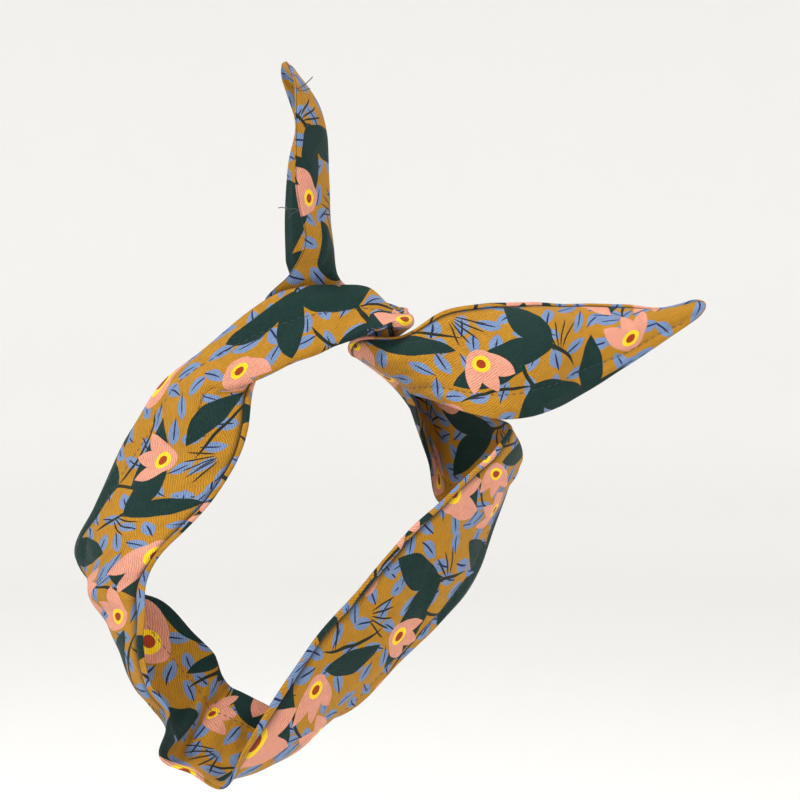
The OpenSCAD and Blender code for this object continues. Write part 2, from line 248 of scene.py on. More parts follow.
def normals_of(surface, s, u):
    """Unit normals of a surface function, out of the face side."""
    small = 0.01
    across = surface(s, u + small) - surface(s, u - small)
    along = surface(np.minimum(s + small, LAST), u) - surface(np.maximum(s - small, 0), u)
    n = np.cross(across, along)
    return n / np.maximum(np.linalg.norm(n, axis=1), 1e-12)[:, None]


def small_folds(s, u):
    """Height of the soft folds and of the cloth's slack, in metres."""
    x = run_at(s) / MM
    y = (u - 0.5) * width_at(s) / MM
    height = np.zeros_like(x)
    for s0, u0, s1, u1, lift, half_width in CREASES:
        ends = np.array([s0, s1])
        a = np.array([run_at(s0) / MM, (u0 - 0.5) * width_at(ends)[0] / MM])
        b = np.array([run_at(s1) / MM, (u1 - 0.5) * width_at(ends)[1] / MM])
        d = b - a
        t = ((x - a[0]) * d[0] + (y - a[1]) * d[1]) / (d @ d)
        inside = np.clip(t, 0, 1)
        gap = np.hypot(x - a[0] - inside * d[0], y - a[1] - inside * d[1])
        height += 1.2 * lift * np.sin(np.pi * inside) ** 0.6 * np.exp(-((gap / half_width) ** 2))
    bend = 1.4 * np.sin(y / 7.3 + 0.9) + 1.1 * np.sin(x / 23.0)
    slack = 0.22 * np.sin(x / 6.1 + bend) + 0.16 * np.sin(x / 3.7 - y / 5.2 + 2.0 * np.sin(x / 31.0))
    slack += 0.12 * np.sin(y / 2.9 + 1.7 * np.sin(x / 9.0))
    calm = 1 - 0.75 * np.exp(-(((u - 0.92) * width_at(s) / MM / 4.0) ** 2))
    return (height + slack) * calm * MM


def skin(s, u):
    """The band's middle surface with its small folds."""
    return plain_skin(s, u) + small_folds(s, u)[:, None] * normals_of(plain_skin, s, u)


def lie(s, u, h):
    """Points at a height h off the middle surface, h above 0 on the face side."""
    return skin(s, u) + np.asarray(h)[:, None] * normals_of(skin, s, u)


def half_thickness(s, u, look):
    """Distance from the middle surface to the cloth's outside: slack, stitched down, raised by the wire."""
    across = np.clip(u, 0, 1)
    width = width_at(s) / MM
    slack = look.puff / MM * np.sqrt(4 * across * (1 - across))
    pressed = 1 - 0.8 * np.exp(-(((u - look.stitch_at) * width / 1.5) ** 2))
    wire = 0.65 * np.exp(-(((u - look.wire_at) * width / 1.5) ** 2))
    return (0.45 + slack * pressed + wire) * MM


def tip_closing(s):
    """How far the two layers have parted near the tips, from 0 at the very end."""
    reach = 0.003
    to_tip = np.minimum(run_at(s), RUN[-1] - run_at(s)) / reach
    return np.sqrt(np.clip(to_tip, 0.02, 1))


def rolled_share(s, look):
    """Share of the width that the rolled edge takes."""
    return np.minimum(look.roll / width_at(s), 0.14)


# The seams: half thickness and reach past the wire edge (mm), then how dark the shade painted in the seam is
# there
SEAM_HALF = 0.22
SEAM_REACH = 0.3
WIRE_SEAM_SHADE = (0.4, 1.0)
# Beside the roll, the width (m) over which the face rises, and over which the seam's shade is painted on it
SEAM_RISE_WIDTH = 0.0009
SEAM_SHADE_WIDTH = 0.0013


def face_rows(s, look, columns):
    """The face's points: it comes out of the seam beside the roll and ends in the seam at the wire edge."""
    roll = rolled_share(s, look)
    inside = np.linspace(0, 1, columns) ** 0.97
    rise = 1 - np.exp(-inside[None, :] * width_at(s)[:, None] / SEAM_RISE_WIDTH)
    u = roll[:, None] + (1 - roll[:, None]) * inside[None, :]
    s_grid = np.repeat(s, columns)
    h = half_thickness(s_grid, u.ravel(), look).reshape(u.shape) * (0.12 + 0.88 * rise)
    beyond = SEAM_REACH * MM / width_at(s)
    u = np.hstack([u, 1 + beyond[:, None], 1 + 0.6 * beyond[:, None]])
    h = np.hstack([h, np.tile([SEAM_HALF * MM, 0.0], (len(s), 1))])
    # Painted shade in the seam valley beside the roll, fading out across the face
    shade_beside_roll = np.exp(-(inside[None, :] * width_at(s)[:, None] / SEAM_SHADE_WIDTH) ** 2)
    painted_shade = np.hstack([shade_beside_roll, np.tile(WIRE_SEAM_SHADE, (len(s), 1))])
    return u, h * tip_closing(s)[:, None], painted_shade


# The rolled edge's outline: place across as a share of the roll, then height (mm)
ROLL = [(1.02, 0.05), (0.97, 0.45), (0.85, 0.80), (0.62, 1.02), (0.36, 1.02), (0.12, 0.85),
        (-0.08, 0.50), (-0.16, 0.10), (-0.12, -0.25), (0.0, -0.45)]
# Columns of the lining that lie in the roll's two seam lines, and how dark the shade painted on them is
ROLL_SHADE = [(0, 1.0), (1, 0.7), (8, 0.85)]


def lining_rows(s, look, columns):
    """The lining's points: out of the seam on the face side, round the plain edge and across the back."""
    roll = rolled_share(s, look)[:, None]
    start = np.array(ROLL)
    small = np.minimum(width_at(s) / 0.03, 1)[:, None]
    inside = np.linspace(0, 1, columns)[1:]
    u = np.hstack([start[None, :, 0] * roll, np.repeat(inside[None, :], len(s), axis=0)])
    s_grid = np.repeat(s, len(inside))
    back = -half_thickness(s_grid, np.tile(inside, len(s)), look).reshape(len(s), -1)
    beyond = SEAM_REACH * MM / width_at(s)[:, None]
    u = np.hstack([u, 1 + beyond, 1 + 0.6 * beyond])
    seam = np.tile([-SEAM_HALF * MM, 0.0], (len(s), 1))
    h = np.hstack([start[None, :, 1] * MM * small, back, seam])
    painted_shade = np.zeros_like(u)
    # Painted shade in the roll's seam lines and in the seam at the wire edge
    for column, shade in ROLL_SHADE:
        painted_shade[:, column] = shade
    painted_shade[:, -2:] = WIRE_SEAM_SHADE
    return u, h * tip_closing(s)[:, None], painted_shade


def grid_mesh(name, points, rows, outward, uv, painted_shade):
    """A mesh from a grid of points, with its cloth coordinates and the shade painted in its seams."""
    count = len(points) // rows
    index = np.arange(rows * count).reshape(rows, count)
    a, b = index[:-1, :-1].ravel(), index[:-1, 1:].ravel()
    c, d = index[1:, 1:].ravel(), index[1:, :-1].ravel()
    quads = np.stack([a, b, c, d] if outward else [a, d, c, b], axis=1)
    mesh = bpy.data.meshes.new(name)
    mesh.from_pydata(points.tolist(), [], quads.tolist())
    layer = mesh.uv_layers.new(name="Cloth")
    layer.data.foreach_set("uv", uv[quads.ravel()].astype(np.float32).ravel())
    # Share of painted seam shade at each point
    seam = mesh.attributes.new("painted_seam_shade", "FLOAT", "POINT")
    seam.data.foreach_set("value", painted_shade.astype(np.float32).ravel())
    mesh.polygons.foreach_set("use_smooth", np.ones(len(quads), bool))
    mesh.update()
    obj = bpy.data.objects.new(name, mesh)
    bpy.context.scene.collection.objects.link(obj)
    return obj


def cloth_uv(s, points, columns, shift):
    """Cloth coordinates in metres: along the band, and across it from its middle."""
    grid = points.reshape(len(s), columns, 3)
    steps = np.linalg.norm(np.diff(grid, axis=1), axis=2)
    across = np.concatenate([np.zeros((len(s), 1)), np.cumsum(steps, axis=1)], axis=1)
    across -= across[:, columns // 2][:, None]
    along = np.repeat(run_at(s)[:, None], columns, axis=1)
    return np.stack([along + shift[0], across + shift[1]], axis=2).reshape(-1, 2)


def rows_between(start, end, pitch):
    """Station numbers of the mesh's rows, evenly spaced along the band."""
    a, b = run_at(start), run_at(end)
    return station_at(np.linspace(a, b, max(4, int(round((b - a) / pitch)) + 1)))


def hold(piece, bodies):
    """Fixes a piece to its one body, or bakes its transform where it spans two."""
    if len(bodies) == 1:
        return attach(piece, bodies[0])
    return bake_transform(piece)


# ---------------------------------------------------------------- node helpers


class Net:
    """Adds shader nodes to one node tree and links them."""

    def __init__(self, tree):
        self.tree = tree

    def put(self, socket, value):
        """Links an output to a socket, or sets the socket's own value."""
        if isinstance(value, bpy.types.NodeSocket):
            self.tree.links.new(value, socket)
        else:
            socket.default_value = value

    def node(self, kind, **inputs):
        """A node with its inputs filled by name."""
        n = self.tree.nodes.new(kind)
        for name, value in inputs.items():
            self.put(n.inputs[name.replace("_", " ")], value)
        return n

    def math(self, operation, a, b=None, c=None, clamp=False):
        """A Math node's value."""
        n = self.tree.nodes.new("ShaderNodeMath")
        n.operation = operation
        n.use_clamp = clamp
        for socket, value in zip(n.inputs, (a, b, c)):
            if value is not None:
                self.put(socket, value)
        return n.outputs[0]

    def vector(self, operation, a, b=None, c=None, scale=None):
        """A Vector Math node's result."""
        n = self.tree.nodes.new("ShaderNodeVectorMath")
        n.operation = operation
        for socket, value in zip(n.inputs, (a, b, c)):
            if value is not None:
                self.put(socket, value)
        if scale is not None:
            self.put(n.inputs["Scale"], scale)
        return n.outputs["Value"] if operation in ("LENGTH", "DOT_PRODUCT", "DISTANCE") else n.outputs[0]

    def split(self, vector):
        """The X and Y of a vector."""
        n = self.node("ShaderNodeSeparateXYZ", Vector=vector)
        return n.outputs[0], n.outputs[1]

    def join(self, x, y):
        """A vector from X and Y."""
        return self.node("ShaderNodeCombineXYZ", X=x, Y=y).outputs[0]

    def turn(self, vector, degrees):
        """The vector seen in axes that are turned by an angle."""
        n = self.node("ShaderNodeVectorRotate", Vector=vector)
        n.rotation_type = "Z_AXIS"
        n.inputs["Angle"].default_value = -math.radians(degrees)
        return n.outputs[0]

    def mix(self, share, a, b, blend="MIX"):
        """A colour mix."""
        n = self.tree.nodes.new("ShaderNodeMix")
        n.data_type = "RGBA"
        n.blend_type = blend
        self.put(n.inputs[0], share)
        self.put(n.inputs[6], a)
        self.put(n.inputs[7], b)
        return n.outputs[2]

    def noise(self, vector, scale, detail=2.0):
        """A noise value from 0 to 1."""
        n = self.node("ShaderNodeTexNoise", Vector=vector, Scale=scale, Detail=detail)
        return n.outputs[0]

    def highest(self, values):
        """The highest of several masks."""
        top = values[0]
        for value in values[1:]:
            top = self.math("MAXIMUM", top, value)
        return top

    def inside(self, distance, radius, soft=0.14):
        """A mask that is 1 where a distance is under a radius, with a soft rim (mm)."""
        return self.math("MULTIPLY", self.math("SUBTRACT", radius, distance), 1 / soft, clamp=True)


def new_group(name, takes, gives):
    """An empty shader node group with named inputs and outputs, its helper and its two end nodes."""
    tree = bpy.data.node_groups.new(name, "ShaderNodeTree")
    for label, kind in takes:
        tree.interface.new_socket(name=label, in_out="INPUT", socket_type=kind)
    for label, kind in gives:
        tree.interface.new_socket(name=label, in_out="OUTPUT", socket_type=kind)
    return tree, Net(tree), tree.nodes.new("NodeGroupInput"), tree.nodes.new("NodeGroupOutput")


def almond(net, x, y, length, width):
    """A mask of an almond-shaped leaf centred on the origin, its tips on the Y axis."""
    radius = (length**2 + width**2) / (4 * width)
    aside = net.math("ADD", net.math("ABSOLUTE", x), radius - width / 2)
    distance = net.vector("LENGTH", net.join(aside, y))
    return net.inside(distance, radius)


def line(net, x, y, half_width, from_y, to_y):
    """A mask of a straight line along Y with tapered ends."""
    middle, half = (from_y + to_y) / 2, (to_y - from_y) / 2
    share = net.math("DIVIDE", net.math("ABSOLUTE", net.math("SUBTRACT", y, middle)), half)
    taper = net.math("SUBTRACT", 1.0, net.math("POWER", share, 4.0), clamp=True)
    room = net.math("MULTIPLY", taper, half_width)
    return net.math("MULTIPLY", net.math("SUBTRACT", room, net.math("ABSOLUTE", x)), 9.0, clamp=True)


def fanned(net, vector, step, most):
    """Folds a vector about the origin, so that what is drawn along Y repeats in a fan."""
    x, y = net.split(vector)
    angle = net.math("ARCTAN2", x, y)
    turn = math.radians(step)
    index = net.math("ROUND", net.math("DIVIDE", angle, turn))
    index = net.math("MAXIMUM", net.math("MINIMUM", index, float(most)), float(-most))
    left = net.math("SUBTRACT", angle, net.math("MULTIPLY", index, turn))
    reach = net.vector("LENGTH", vector)
    folded_x = net.math("MULTIPLY", reach, net.math("SINE", left))
    folded_y = net.math("MULTIPLY", reach, net.math("COSINE", left))
    return folded_x, folded_y, index


def bloom_group():
    """A cup-shaped flower with pointed petals round a ringed centre. It opens along +Y (mm)."""
    tree, net, given, out = new_group("Bloom", [("Vector", "NodeSocketVector")],
                                      [(n, "NodeSocketFloat") for n in ("Petals", "Ring", "Centre", "Lines")])
    x, y, _ = fanned(net, given.outputs[0], 34.0, 1)
    petal = almond(net, x, net.math("SUBTRACT", y, 11.5), 25.0, 10.4)
    low = net.vector("SUBTRACT", given.outputs[0], (0.0, 6.4, 0.0))
    cup = net.inside(net.vector("LENGTH", low), 8.2)
    middle = net.vector("LENGTH", net.vector("MULTIPLY", low, (1.0, 1.12, 1.0)))
    veins = line(net, x, y, 0.16, 13.0, 20.0)
    net.put(out.inputs["Petals"], net.math("MAXIMUM", petal, cup))
    net.put(out.inputs["Ring"], net.inside(middle, 5.2))
    net.put(out.inputs["Centre"], net.inside(middle, 2.9))
    net.put(out.inputs["Lines"], veins)
    return tree


def leaf_pair_group():
    """Two broad leaves that part from one stem, with a slit of ground and a fine line between them (mm)."""
    tree, net, given, out = new_group("Leaf pair", [("Vector", "NodeSocketVector")],
                                      [("Leaf", "NodeSocketFloat"), ("Stem", "NodeSocketFloat")])
    x, y = net.split(given.outputs[0])
    side = net.math("ABSOLUTE", x)
    opened = net.turn(net.join(side, y), -24.0)
    leaf_x, leaf_y = net.split(opened)
    bent = net.math("SUBTRACT", leaf_x, net.math("MULTIPLY", net.math("MULTIPLY", leaf_y, leaf_y), 0.006))
    leaf = almond(net, bent, net.math("SUBTRACT", leaf_y, 14.0), 28.0, 11.5)
    stem = line(net, net.math("SUBTRACT", x, net.math("MULTIPLY", net.math("MULTIPLY", y, y), 0.02)), y,
                0.75, -14.0, 11.0)
    net.put(out.inputs["Leaf"], leaf)
    net.put(out.inputs["Stem"], stem)
    return tree


def leaf_group():
    """One long curved leaf on a thin stem (mm)."""
    tree, net, given, out = new_group("Long leaf", [("Vector", "NodeSocketVector")],
                                      [("Leaf", "NodeSocketFloat"), ("Stem", "NodeSocketFloat")])
    x, y = net.split(given.outputs[0])
    bow = net.math("MULTIPLY", net.math("MULTIPLY", y, y), 0.012)
    bent = net.math("SUBTRACT", x, bow)
    leaf = almond(net, bent, y, 31.0, 11.0)
    stem = line(net, net.math("ADD", bent, -7.2), y, 0.75, -17.0, 17.0)
    net.put(out.inputs["Leaf"], leaf)
    net.put(out.inputs["Stem"], stem)
    return tree


def sprig_group():
    """Three leaflets fanned about one point, each with a dark vein that runs out as its stalk (mm)."""
    tree, net, given, out = new_group("Sprig", [("Vector", "NodeSocketVector")],
                                      [("Leaflet", "NodeSocketFloat"), ("Vein", "NodeSocketFloat")])
    x, y, index = fanned(net, given.outputs[0], 44.0, 1)
    out_y = net.math("SUBTRACT", y, net.math("ADD", 8.2, net.math("MULTIPLY", index, 0.7)))
    net.put(out.inputs["Leaflet"], almond(net, x, out_y, 8.8, 4.3))
    net.put(out.inputs["Vein"], line(net, x, out_y, 0.34, -5.2, 2.6))
    return tree


def scatter_group():
    """Single leaflets, each in its own cell of a loose grid, turned every way (mm)."""
    tree, net, given, out = new_group("Scattered leaflets", [("Vector", "NodeSocketVector")],
                                      [("Leaflet", "NodeSocketFloat"), ("Vein", "NodeSocketFloat")])
    cell = 9.4
    drawn = net.vector("SCALE", given.outputs[0], scale=1 / cell)
    voronoi = net.node("ShaderNodeTexVoronoi", Vector=drawn, Scale=1.0, Randomness=0.4)
    voronoi.voronoi_dimensions = "2D"
    local = net.vector("SCALE", net.vector("SUBTRACT", drawn, voronoi.outputs["Position"]), scale=cell)
    hue = net.node("ShaderNodeSeparateColor", Color=voronoi.outputs["Color"])
    spin = net.node("ShaderNodeVectorRotate", Vector=local, Angle=net.math("MULTIPLY", hue.outputs[0], 6.28))
    spin.rotation_type = "Z_AXIS"
    x, y = net.split(spin.outputs[0])
    net.put(out.inputs["Leaflet"], almond(net, x, y, 9.2, 4.7))
    net.put(out.inputs["Vein"], line(net, x, y, 0.36, -5.8, 2.8))
    return tree


def rays_group():
    """Five fine stalks that spread from one point (mm)."""
    tree, net, given, out = new_group("Rays", [("Vector", "NodeSocketVector")],
                                      [("Stalk", "NodeSocketFloat")])
    x, y, _ = fanned(net, given.outputs[0], 17.0, 2)
    net.put(out.inputs["Stalk"], line(net, x, y, 0.42, 3.0, 15.0))
    return tree


# The print's repeat (mm), and where each motif stands in it: kind, X, Y, turn (degrees), scale
REPEAT = (104.0, 78.0)
MOTIFS = [
    ("bloom", 14, 18, 25, 1.0),
    ("bloom", 66, 50, -70, 0.95),
    ("bloom", 88, 6, 160, 0.62),
    ("bloom", 38, 46, 100, 0.62),
    ("bloom", 28, 74, -20, 0.66),
    ("bloom", 98, 58, 40, 0.62),
    ("pair", 46, 10, -30, 1.0),
    ("pair", 92, 36, 60, 1.0),
    ("pair", 12, 46, 200, 0.95),
    ("pair", 54, 76, 120, 0.95),
    ("pair", 70, 24, 215, 0.9),
    ("leaf", 30, 4, 80, 0.9),
    ("leaf", 52, 34, 150, 0.85),
    ("leaf", 8, 68, -60, 0.9),
    ("leaf", 80, 56, 20, 0.85),
    ("leaf", 30, 30, 20, 0.7),
    ("sprig", 38, 20, 20, 1.0),
    ("sprig", 78, 14, -60, 1.0),
    ("sprig", 22, 36, 170, 1.0),
    ("sprig", 48, 56, 60, 1.0),
    ("sprig", 70, 68, -130, 1.0),
    ("sprig", 86, 72, 90, 1.0),
    ("rays", 56, 2, 180, 0.9),
    ("rays", 82, 44, 30, 0.8),
    ("rays", 22, 58, -40, 0.9),
]


def place(net, vector, x, y, degrees, scale):
    """The vector in a motif's own axes, repeated over the cloth."""
    moved = net.vector("SUBTRACT", vector, (float(x), float(y), 0.0))
    half = (REPEAT[0] / 2, REPEAT[1] / 2, 1000.0)
    wrapped = net.vector("WRAP", moved, half, tuple(-v for v in half))
    return net.vector("SCALE", net.turn(wrapped, degrees), scale=1 / scale)


def print_group(colours):
    """The cloth's print: flowers, leaves and leaflets over a plain ground."""
    tree, net, given, out = new_group("Botanical print", [("Vector", "NodeSocketVector")],
                                      [("Color", "NodeSocketColor"), ("Ink", "NodeSocketFloat")])
    kinds = {"bloom": bloom_group(), "pair": leaf_pair_group(), "leaf": leaf_group(),
             "sprig": sprig_group(), "rays": rays_group()}
    wobble = net.node("ShaderNodeTexNoise", Vector=given.outputs[0], Scale=0.13, Detail=0.0)
    shift = net.vector("SCALE", net.vector("SUBTRACT", wobble.outputs["Color"], (0.5, 0.5, 0.5)), scale=1.6)
    drawn = net.vector("ADD", given.outputs[0], shift)
    masks = {}
    for kind, x, y, degrees, scale in MOTIFS:
        motif = tree.nodes.new("ShaderNodeGroup")
        motif.node_tree = kinds[kind]
        net.put(motif.inputs[0], place(net, drawn, x, y, degrees, scale))
        for socket in motif.outputs:
            masks.setdefault(socket.name, []).append(socket)
    scatter = tree.nodes.new("ShaderNodeGroup")
    scatter.node_tree = scatter_group()
    net.put(scatter.inputs[0], drawn)
    big = net.highest(masks["Petals"] + masks["Leaf"] + masks["Stem"] + masks["Leaflet"] + masks["Stalk"])
    patchy = net.noise(given.outputs[0], 0.22, 3.0)
    tone = net.math("MULTIPLY_ADD", patchy, 0.3, 0.85)
    layers = [
        (net.math("MULTIPLY", scatter.outputs[0], net.math("SUBTRACT", 1.0, big)), colours.leaflet),
        (net.math("MULTIPLY", scatter.outputs[1], net.math("SUBTRACT", 1.0, big)), colours.vein),
        (net.highest(masks["Leaflet"]), colours.leaflet),
        (net.highest(masks["Vein"]), colours.vein),
        (net.highest(masks["Stem"] + masks["Stalk"]), colours.stem),
        (net.highest(masks["Leaf"]), colours.leaf),
        (net.highest(masks["Petals"]), colours.petal),
        (net.highest(masks["Lines"]), colours.petal_line),
        (net.highest(masks["Ring"]), colours.ring),
        (net.highest(masks["Centre"]), colours.centre),
    ]
    colour = (*colours.ground, 1.0)
    for mask, value in layers:
        colour = net.mix(mask, colour, (*value, 1.0))
    shade = net.node("ShaderNodeCombineColor", Red=tone, Green=tone, Blue=tone)
    net.put(out.inputs["Color"], net.mix(1.0, colour, shade.outputs[0], "MULTIPLY"))
    net.put(out.inputs["Ink"], big)
    return tree


def twill_group():
    """Twill weave: fine slanting ribs broken by the cross threads, with slubs (mm). Its Shade paints light
    and shade on the ribs, on top of the slubs' uneven tone.
    """
    tree, net, given, out = new_group("Twill weave",
                                      [("Vector", "NodeSocketVector"), ("Pitch", "NodeSocketFloat")],
                                      [("Height", "NodeSocketFloat"), ("Shade", "NodeSocketFloat")])
    vector, pitch = given.outputs[0], given.outputs[1]
    drift = net.math("MULTIPLY_ADD", net.noise(vector, 0.35, 2.0), 1.6, -0.8)
    x, y = net.split(net.turn(vector, 58.0))
    rib_turns = net.math("ADD", net.math("DIVIDE", x, pitch), drift)
    rib = net.math("SINE", net.math("MULTIPLY", rib_turns, math.tau))
    step_turns = net.math("DIVIDE", y, net.math("MULTIPLY", pitch, 1.6))
    step = net.math("SINE", net.math("MULTIPLY", step_turns, math.tau))
    thread = net.math("MULTIPLY_ADD", net.math("MULTIPLY", rib, step), 0.35, net.math("MULTIPLY", rib, 0.65))
    long_way = net.vector("MULTIPLY", net.join(x, y), (2.4, 0.40, 1.0))
    slub = net.noise(long_way, 0.9, 3.0)
    net.put(out.inputs["Height"], net.math("MULTIPLY_ADD", thread, 0.5, net.math("MULTIPLY", slub, 0.9)))
    # The thread term paints light and shade on the ribs; the slub term is the yarn's uneven tone
    shade = net.math("MULTIPLY_ADD", thread, 0.32, net.math("MULTIPLY_ADD", slub, 0.55, 0.70))
    net.put(out.inputs["Shade"], shade)
    return tree


def new_material(name):
    """A material with its Principled shader and a helper for its nodes."""
    material = bpy.data.materials.new(name)
    material.use_nodes = True
    tree = material.node_tree
    return material, Net(tree), tree.nodes["Principled BSDF"]


def add_group(net, tree, **inputs):
    """A group node in a material."""
    n = net.tree.nodes.new("ShaderNodeGroup")
    n.node_tree = tree
    for name, value in inputs.items():
        net.put(n.inputs[name], value)
    return n


def cloth_material(name, settings, groups, turned):
    """Printed cotton twill. The lining's print runs the other way."""
    material, net, shader = new_material(name)
    coordinates = net.tree.nodes.new("ShaderNodeUVMap")
    coordinates.uv_map = "Cloth"
    flat = net.vector("SCALE", coordinates.outputs[0], scale=1000.0)
    drawn = net.vector("SCALE", flat, scale=1 / settings.print_scale)
    laid = net.turn(drawn, 180.0) if turned else drawn
    printed = add_group(net, groups["print"], Vector=laid)
    weave = add_group(net, groups["twill"], Vector=flat, Pitch=settings.weave)
    seam = net.node("ShaderNodeAttribute")
    seam.attribute_name = "painted_seam_shade"
    seam_shade = seam.outputs["Fac"]
    shade = weave.outputs["Shade"]
    # The weave's painted rib shade and slub tone, multiplied into the print
    grey = net.node("ShaderNodeCombineColor", Red=shade, Green=shade, Blue=shade).outputs[0]
    colour = net.mix(1.0, printed.outputs["Color"], grey, "MULTIPLY")
    # Painted seam shade: the colour is darkened towards near black where the seams fall in shade
    colour = net.mix(net.math("MULTIPLY", seam_shade, 0.93), colour, (0.012, 0.012, 0.010, 1.0))
    net.put(shader.inputs["Base Color"], colour)
    rough = net.math("MULTIPLY_ADD", printed.outputs["Ink"], -0.06, 0.86)
    net.put(shader.inputs["Roughness"], rough)
    shader.inputs["Specular IOR Level"].default_value = 0.2
    shader.inputs["Sheen Weight"].default_value = 0.06
    shader.inputs["Sheen Roughness"].default_value = 0.45
    crumple = net.noise(net.vector("MULTIPLY", flat, (1.0, 0.7, 1.0)), 0.16, 4.0)
    wrinkles = net.node("ShaderNodeBump", Height=crumple, Distance=0.0013, Strength=0.7)
    bump = net.node("ShaderNodeBump", Height=weave.outputs["Height"], Distance=0.00016, Strength=0.9)
    net.put(bump.inputs["Normal"], wrinkles.outputs[0])
    net.put(shader.inputs["Normal"], bump.outputs[0])
    return material


def place_in_mm(net):
    """The shaded place in millimetres."""
    return net.vector("SCALE", net.tree.nodes.new("ShaderNodeNewGeometry").outputs["Position"], scale=1000.0)


def thread_material(name, colour):
    """Twisted sewing thread."""
    material, net, shader = new_material(name)
    across = net.vector("DOT_PRODUCT", place_in_mm(net), (1.0, 0.6, 1.3))
    strands = net.math("SINE", net.math("MULTIPLY", across, 14.0))
    light = tuple(min(1.0, c * 1.9 + 0.01) for c in colour)
    share = net.math("MULTIPLY_ADD", strands, 0.25, 0.3)
    net.put(shader.inputs["Base Color"], net.mix(share, (*colour, 1.0), (*light, 1.0)))
    shader.inputs["Roughness"].default_value = 0.6
    shader.inputs["Sheen Weight"].default_value = 0.2
    bump = net.node("ShaderNodeBump", Height=strands, Distance=0.00005, Strength=0.6)
    net.put(shader.inputs["Normal"], bump.outputs[0])
    return material


def metal_material():
    """Annealed steel wire, dull and a little uneven."""
    material, net, shader = new_material("Annealed wire")
    worn = net.noise(place_in_mm(net), 0.8, 3.0)
    net.put(shader.inputs["Base Color"], net.mix(worn, (0.33, 0.33, 0.34, 1.0), (0.55, 0.55, 0.54, 1.0)))
    net.put(shader.inputs["Roughness"], net.math("MULTIPLY_ADD", worn, 0.25, 0.3))
    shader.inputs["Metallic"].default_value = 1.0
    return material


def sleeve_material():
    """Matt sleeve over the wire's end."""
    material, net, shader = new_material("Wire sleeve")
    fine = net.noise(place_in_mm(net), 1.5, 3.0)
    net.put(shader.inputs["Base Color"], net.mix(fine, (0.70, 0.67, 0.60, 1.0), (0.82, 0.80, 0.74, 1.0)))
    shader.inputs["Roughness"].default_value = 0.6
    return material


def stage_material(name, colour):
    """Smooth pale studio paper."""
    material, net, shader = new_material(name)
    place_in = net.tree.nodes.new("ShaderNodeNewGeometry").outputs["Position"]
    soft = net.noise(place_in, 0.7, 2.0)
    darker = tuple(0.985 * c for c in colour)
    net.put(shader.inputs["Base Color"], net.mix(soft, (*colour, 1.0), (*darker, 1.0)))
    shader.inputs["Roughness"].default_value = 0.95
    shader.inputs["Specular IOR Level"].default_value = 0.1
    return material


# ---------------------------------------------------------------- settings


class HEADBAND_PG_cloth(bpy.types.PropertyGroup):
    """Sizes of the cloth tube."""

    width: bpy.props.FloatProperty(name="Flat width", description="Width of the finished band laid flat",
                                   default=0.051, min=0.03, max=0.08, unit="LENGTH")
    puff: bpy.props.FloatProperty(name="Slack", description="Half the space between the two layers",
                                  default=0.0009, min=0.0, max=0.002, unit="LENGTH")
    roll: bpy.props.FloatProperty(name="Rolled edge", description="Width of the rolled plain edge",
                                  default=0.0022, min=0.001, max=0.004, unit="LENGTH")
    pitch: bpy.props.FloatProperty(name="Row pitch", description="Length from one mesh row to the next",
                                   default=0.0012, min=0.0006, max=0.004, unit="LENGTH")
    columns: bpy.props.IntProperty(name="Columns", description="Points across each layer",
                                   default=44, min=12, max=90)


class HEADBAND_PG_sewing(bpy.types.PropertyGroup):
    """Sizes of the stitching and of the wire channel."""

    stitch_at: bpy.props.FloatProperty(name="Stitch line",
                                       description="Share of the width from the plain edge",
                                       default=0.82, min=0.7, max=0.9, subtype="FACTOR")
    wire_at: bpy.props.FloatProperty(name="Wire line", description="Share of the width from the plain edge",
                                     default=0.92, min=0.85, max=0.95, subtype="FACTOR")
    stitch: bpy.props.FloatProperty(name="Stitch length", description="Length of one stitch",
                                    default=0.0022, min=0.001, max=0.005, unit="LENGTH")
    step: bpy.props.FloatProperty(name="Stitch pitch", description="Length from one stitch to the next",
                                  default=0.0031, min=0.0015, max=0.007, unit="LENGTH")
    thread: bpy.props.FloatProperty(name="Thread", description="Thickness of the thread",
                                    default=0.00032, min=0.0001, max=0.001, unit="LENGTH")
    closing: bpy.props.IntProperty(name="Closing stitches", description="Stitches over the turning gap",
                                   default=9, min=0, max=20)


def colour_property(label, text, value):
    """A colour setting."""
    return bpy.props.FloatVectorProperty(name=label, description=text, default=value, min=0, max=1,
                                         subtype="COLOR")


class HEADBAND_PG_colours(bpy.types.PropertyGroup):
    """Colours of the print, the thread and the studio."""

    ground: colour_property("Ground", "The cloth's ground colour", (0.375, 0.174, 0.012))
    petal: colour_property("Petals", "Flower petals", (0.62, 0.265, 0.18))
    petal_line: colour_property("Petal lines", "Fine lines on the petals", (0.60, 0.22, 0.14))
    ring: colour_property("Ring", "Ring round a flower's centre", (0.84, 0.55, 0.014))
    centre: colour_property("Centre", "Flower centres", (0.30, 0.034, 0.007))
    leaf: colour_property("Leaf", "Broad leaves", (0.0035, 0.023, 0.019))
    stem: colour_property("Stem", "Stems and stalks", (0.012, 0.016, 0.008))
    leaflet: colour_property("Leaflet", "Small leaflets", (0.145, 0.215, 0.37))
    vein: colour_property("Vein", "Veins of the leaflets", (0.008, 0.012, 0.055))
    thread: colour_property("Thread", "Sewing thread", (0.014, 0.020, 0.018))
    studio: colour_property("Studio", "Backdrop and floor", (0.88, 0.87, 0.85))
    print_scale: bpy.props.FloatProperty(name="Print size", description="Size of the print's motifs",
                                         default=1.15, min=0.5, max=2.0, subtype="FACTOR")
    weave: bpy.props.FloatProperty(name="Twill pitch",
                                   description="Millimetres from one twill rib to the next",
                                   default=0.92, min=0.3, max=1.5)


# ---------------------------------------------------------------- cloth


